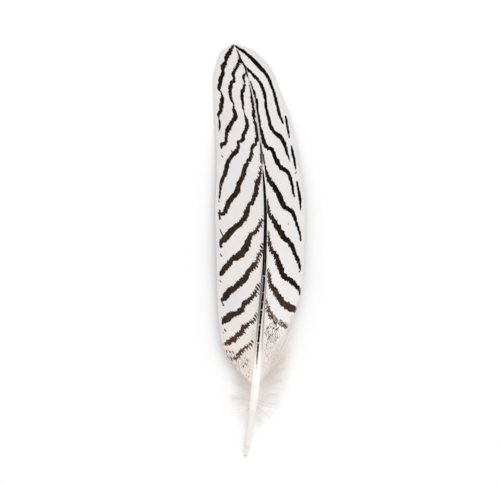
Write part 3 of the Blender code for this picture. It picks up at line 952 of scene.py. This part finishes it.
def downBarbs(rng, side, lowest, highest, count, angles, lengths, curl):
    # A tuft's barbs: steps of equal length whose angle turns along the barb, evenly but for some noise.
    # The height goes from the shaft's to the tip's.
    places = down["places"]
    roots = np.linspace(lowest, highest, count) + rng.normal(0, 0.25, count)
    share = (roots - lowest) / (highest - lowest)
    length = (lengths[0] + (lengths[1] - lengths[0]) * share) * rng.uniform(*down["lengths"], count)
    way = np.linspace(0, 1, places)[None, :]
    angle = angles[0] + (angles[1] - angles[0]) * share + rng.normal(0, 6, count)
    bend = rng.normal(-6, curl, count)[:, None] + 0.6 * curl * barbNoise(rng, count, places, 6, 0)
    heading = np.radians(angle[:, None] + bend * way)
    step = (length / (places - 1))[:, None]
    out = 0.3 * through(shape["section"], roots)[:, None] + np.cumsum(np.sin(heading) * step, axis=1)
    station = roots[:, None] + np.cumsum(np.cos(heading) * step, axis=1)
    start = through(shape["line"], roots, 2)[:, None] + 0.1
    end = (rng.uniform(*down["tips"], count) * (1 - 0.5 * share) + down["tipRise"] * share)[:, None]
    height = start + (end - start) * way**0.85 + 0.25 * barbNoise(rng, count, places, 5, 0) * way
    return inPlace(side, out, station, np.maximum(height, down["lowest"]))


def barbulesOn(rng, paths, perBarb, length, places=3):
    # Fine barbules on both sides of each barb. They lean towards its tip, and bend on with the way squared.
    count, fine = paths.shape[:2]
    at = rng.uniform(0.08, 0.995, (count, perBarb)) * (fine - 1)
    i = np.minimum(at.astype(int), fine - 2)
    strand = np.arange(count)[:, None]
    ahead = paths[strand, i + 1] - paths[strand, i]
    base = paths[strand, i] + (at - i)[..., None] * ahead
    ahead = unit(ahead)
    beside = unit(np.cross(ahead, (0.0, 0.0, 1.0)))
    above = np.cross(beside, ahead)
    hand = np.where(rng.random((count, perBarb, 1)) < 0.5, -1, 1)
    lean = np.radians(rng.uniform(25, 68, (count, perBarb, 1)))
    tilt = rng.normal(0, 0.14, (count, perBarb, 1))
    way = np.linspace(0, 1, places)[:, None]
    reach = length * rng.uniform(0.55, 1.15, (count, perBarb, 1))
    heading = ahead * np.cos(lean) + hand * beside * np.sin(lean) + above * tilt
    bend = ahead * rng.uniform(0.0, 0.5, (count, perBarb, 1))
    path = base[:, :, None] + reach[..., None] * (heading[:, :, None] * way + bend[:, :, None] * way**2)
    path[..., 2] = np.maximum(path[..., 2], 0.06)
    tone = np.repeat(rng.random(count), perBarb) + rng.normal(0, 0.1, count * perBarb)
    return path.reshape(-1, places, 3), tone


def downPieces(material, vaneRidges):
    # The barbs of the tufts and wisps as tapered tubes of four sides, and their barbules of three
    rng = np.random.default_rng(down["seed"])
    paths = np.concatenate([downBarbs(rng, *tuft, down["curl"]) for tuft in down["tufts"]])
    wisps = np.concatenate([downBarbs(rng, *tuft, down["wispCurl"]) for tuft in down["wisps"]])
    taper = 1 - 0.75 * np.linspace(0, 1, down["places"])[None, :]
    widths = np.concatenate([np.full(len(paths), down["barbWidth"]), np.full(len(wisps), down["wispWidth"])])
    cores = tubes(np.concatenate([paths, wisps]), widths[:, None] / 2 * taper, 4)
    coreTone = rng.random((len(cores), 1, 1))
    isWisp = np.arange(len(cores))[:, None, None] >= len(paths)
    hairs = [barbulesOn(rng, paths, down["barbules"], down["barbuleLength"])]
    # The lowest barbs of both vanes carry loose barbules towards their ends
    for ridges, lowest in vaneRidges:
        loose = ridges[:lowest, ridges.shape[1] // 5:]
        hairs.append(barbulesOn(rng, loose, down["barbules"], down["vaneBarbuleLength"]))
    hairTone = np.clip(np.concatenate([tone for _, tone in hairs]), 0, 1)[:, None, None]
    hairs = np.concatenate([path for path, _ in hairs])
    thin = down["barbuleWidth"] / 2 * np.array([1.0, 0.7, 0.25])[None, :]
    barbules = tubes(hairs, np.repeat(thin, len(hairs), axis=0), 3)
    for name, rings, tone, wisp, columns in (
        ("down_barbs", cores, coreTone, isWisp, 1), ("down_barbules", barbules, hairTone, 0.0, 24),
    ):
        warm = ease(rings[..., 1] + originStation, down["warmFrom"], down["warmTo"])
        marks = {"tone": tone, "warm": warm, "wisp": wisp}
        strandPiece(name, rings, material, marks, columns=columns, smooth=True)


# Studio

studio = {
    "frameWidth": 220,  # what the view spans at the feather
    "middle": (-3.74, 3.3, 5),  # the point that the camera looks straight down on
    "lens": 160,
    "sensor": 36,
    "floor": 24000,
    "floorTone": (252, 252, 252),
    "world": 0.91,
    "key": 4.6,
    # In metres
    "keySize": 1.5,
    "keyPlace": (0.6, 0.35, 1.3),
    "clip": (0.01, 20),
}


def studioSetup():
    # A pale floor in white surroundings, a wide lamp at the upper right, and a camera straight above
    floorMesh = bpy.data.meshes.new("floor")
    half = studio["floor"] / 2 * mm
    corners = [(-half, -half, 0), (half, -half, 0), (half, half, 0), (-half, half, 0)]
    floorMesh.from_pydata(corners, [], [(0, 1, 2, 3)])
    paleFloor = Recipe("paleFloor").finish({"Base Color": linear(*studio["floorTone"]), "Roughness": 0.9})
    floorMesh.materials.append(paleFloor)
    floor = placed("floor", floorMesh)
    world = bpy.data.worlds.new("studio")
    world.use_nodes = True
    background = world.node_tree.nodes["Background"].inputs
    background["Color"].default_value = (1.0, 1.0, 1.0, 1.0)
    background["Strength"].default_value = studio["world"]
    bpy.context.scene.world = world
    lamp = bpy.data.lights.new("softbox", "AREA")
    lamp.energy = studio["key"]
    lamp.size = studio["keySize"]
    softbox = placed("softbox", lamp)
    softbox.location = studio["keyPlace"]
    softbox.rotation_mode = "QUATERNION"
    softbox.rotation_quaternion = softbox.location.to_track_quat("Z", "Y")
    lens = bpy.data.cameras.new("camera")
    lens.lens, lens.sensor_width = studio["lens"], studio["sensor"]
    lens.clip_start, lens.clip_end = studio["clip"]
    camera = placed("camera", lens)
    distance = studio["frameWidth"] * studio["lens"] / studio["sensor"]
    x, y, z = studio["middle"]
    camera.location = (x * mm, y * mm, (z + distance) * mm)
    bpy.context.scene.camera = camera
    bpy.context.scene.view_settings.view_transform = "Standard"


print("studio")
studioSetup()
print("vanes")
webFinish = barredWeb()
leftRidges = vanePiece(leftVane, webFinish)
rightRidges = vanePiece(rightVane, webFinish)
print("shaft")
shaftPiece(hornShaft())
print("down")
downPieces(looseDown(), ((leftRidges, leftVane["downyBarbs"]), (rightRidges, rightVane["downyBarbs"])))
